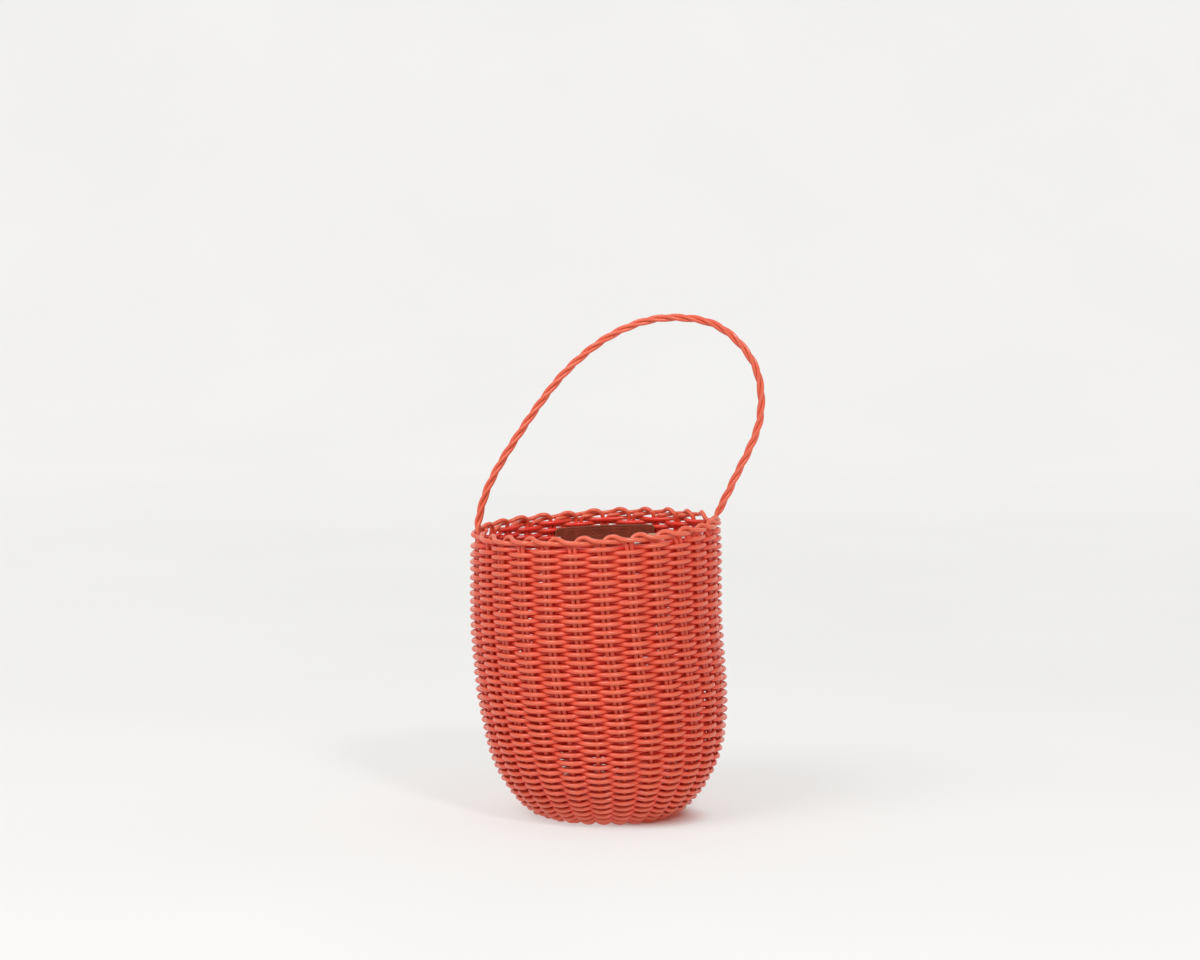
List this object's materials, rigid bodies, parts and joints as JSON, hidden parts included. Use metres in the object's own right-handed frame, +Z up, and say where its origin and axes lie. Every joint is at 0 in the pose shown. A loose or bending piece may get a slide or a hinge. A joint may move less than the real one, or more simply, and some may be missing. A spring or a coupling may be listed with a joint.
{
  "type": "egg collection basket",
  "caption": "Small bucket-shaped egg basket hand woven in coral round plastic cord, with a folded border, a twisted rope arch handle and a plain leather label.",
  "frame": {"origin": "on the floor under the middle of the flat base", "axes": "+Z up through the basket, +X to the side the handle's arch leans to, -Y the front"},
  "size_m": [0.1956, 0.1673, 0.3333],
  "materials": {
    "cord_plastic": "satin",
    "leather": "smooth",
    "thread": "matte"
  },
  "bodies": {
    "basket": {"centre_weaver": "cord_plastic", "stake_cord_01": "cord_plastic", "stake_cord_02": "cord_plastic", "stake_cord_03": "cord_plastic", "stake_cord_04": "cord_plastic", "stake_cord_05": "cord_plastic", "stake_cord_06": "cord_plastic", "stake_cord_07": "cord_plastic", "stake_cord_08": "cord_plastic", "stake_cord_09": "cord_plastic", "stake_cord_10": "cord_plastic", "stake_cord_11": "cord_plastic", "stake_cord_12": "cord_plastic", "stake_cord_13": "cord_plastic", "stake_cord_14": "cord_plastic", "weaver_1": "cord_plastic", "weaver_2": "cord_plastic", "weaver_3": "cord_plastic", "weaver_4": "cord_plastic", "weaver_5": "cord_plastic", "weaver_6": "cord_plastic", "handle_end_left_1": "cord_plastic", "handle_end_left_2": "cord_plastic", "handle_end_right_1": "cord_plastic", "handle_end_right_2": "cord_plastic", "leather_label": "leather", "label_tie_left": "thread", "label_tie_right": "thread"},
    "handle": {"handle_strand_1": "cord_plastic", "handle_strand_2": "cord_plastic", "handle_strand_3": "cord_plastic"}
  },
  "joints": [
    {"name": "handle_swing", "type": "hinge", "parent": "basket", "child": "handle", "pos_m": [-0.00674, 0.00456, 0.19927], "axis": [0.9981, 0.0303, 0.0537], "range_deg": [-60, 60], "stiffness_Nm_per_rad": 0.03}
  ]
}
